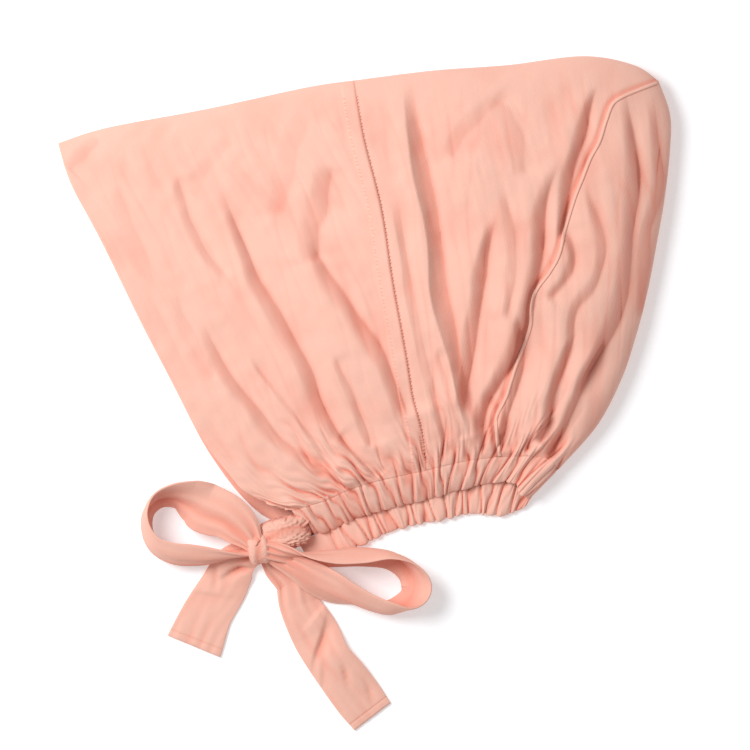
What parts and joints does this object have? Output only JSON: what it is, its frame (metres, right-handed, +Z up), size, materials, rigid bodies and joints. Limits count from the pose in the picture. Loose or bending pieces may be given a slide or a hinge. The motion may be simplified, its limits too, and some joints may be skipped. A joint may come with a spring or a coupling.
{
  "type": "hijab underscarf cap",
  "caption": "Soft jersey underscarf cap lying on its side: a folded front panel, a full gathered back, a ruched neck casing and neck ties tied in a bow.",
  "frame": {"origin": "middle of the footprint of the cap and its ties, on the surface that it lies on", "axes": "+Z up from the surface, +Y from the neck towards the crown of the head, +X from the face towards the back of the head"},
  "size_m": [0.3298, 0.364, 0.0318],
  "materials": {
    "jersey": "matt fine cotton jersey, peach",
    "tie_jersey": "matt fine cotton jersey, peach, doubled"
  },
  "bodies": {
    "root": {"front_panel": "jersey", "back_panel": "jersey", "neck_casing": "jersey", "tie_crossing": "tie_jersey", "bow_knot": "tie_jersey", "left_loop": "tie_jersey", "right_loop": "tie_jersey", "short_tail": "tie_jersey", "long_tail": "tie_jersey"}
  },
  "joints": []
}
